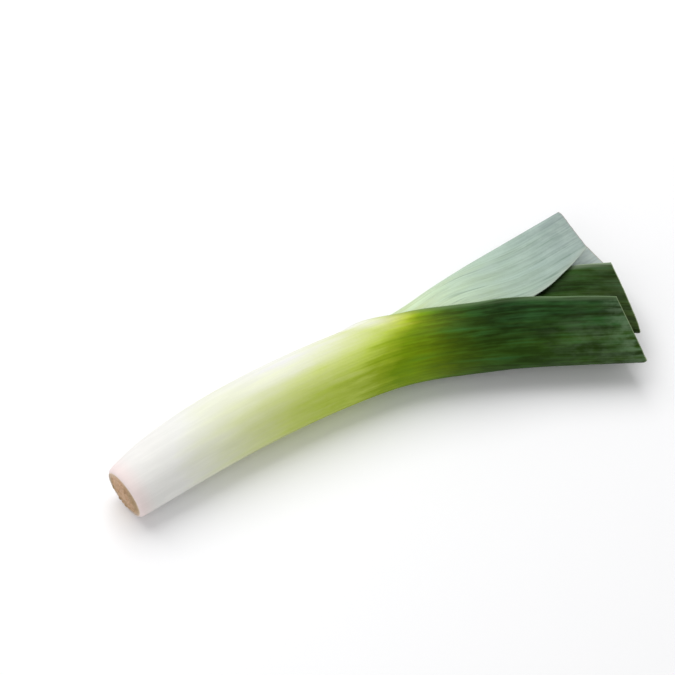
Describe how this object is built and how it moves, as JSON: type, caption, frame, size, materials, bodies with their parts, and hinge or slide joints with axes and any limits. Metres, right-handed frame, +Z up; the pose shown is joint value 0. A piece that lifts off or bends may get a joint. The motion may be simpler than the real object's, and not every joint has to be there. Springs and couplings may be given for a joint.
{
  "type": "leek",
  "caption": "Trimmed leek lying on its side: a pale curved shaft of nested leaf sheaths on a round root plate, with folded green blades spread in a fan.",
  "frame": {"origin": "centre of the bounding box in X and Y, on the surface that the leek lies on", "axes": "+X along the leek from its root plate to the cut ends of its leaves, +Y to the left of that, on the second leaf's side, +Z up"},
  "size_m": [0.2992, 0.1158, 0.0378],
  "materials": {
    "outer_leaf": "satin, smooth leaf skin, white at the root and dark green at the cut",
    "second_leaf": "matt, waxy grey-green bloom over fine long veins",
    "third_leaf": "satin, dark green with fine long veins",
    "fourth_leaf": "satin, mid green with fine long veins",
    "heart_leaves": "satin, pale yellow-green young leaves",
    "root_plate": "matt, rough and dry, tan"
  },
  "bodies": {
    "root": {"outer_leaf": "outer_leaf", "second_leaf": "second_leaf", "third_leaf": "third_leaf", "fourth_leaf": "fourth_leaf", "heart_leaves": "heart_leaves", "root_plate": "root_plate"}
  },
  "joints": []
}
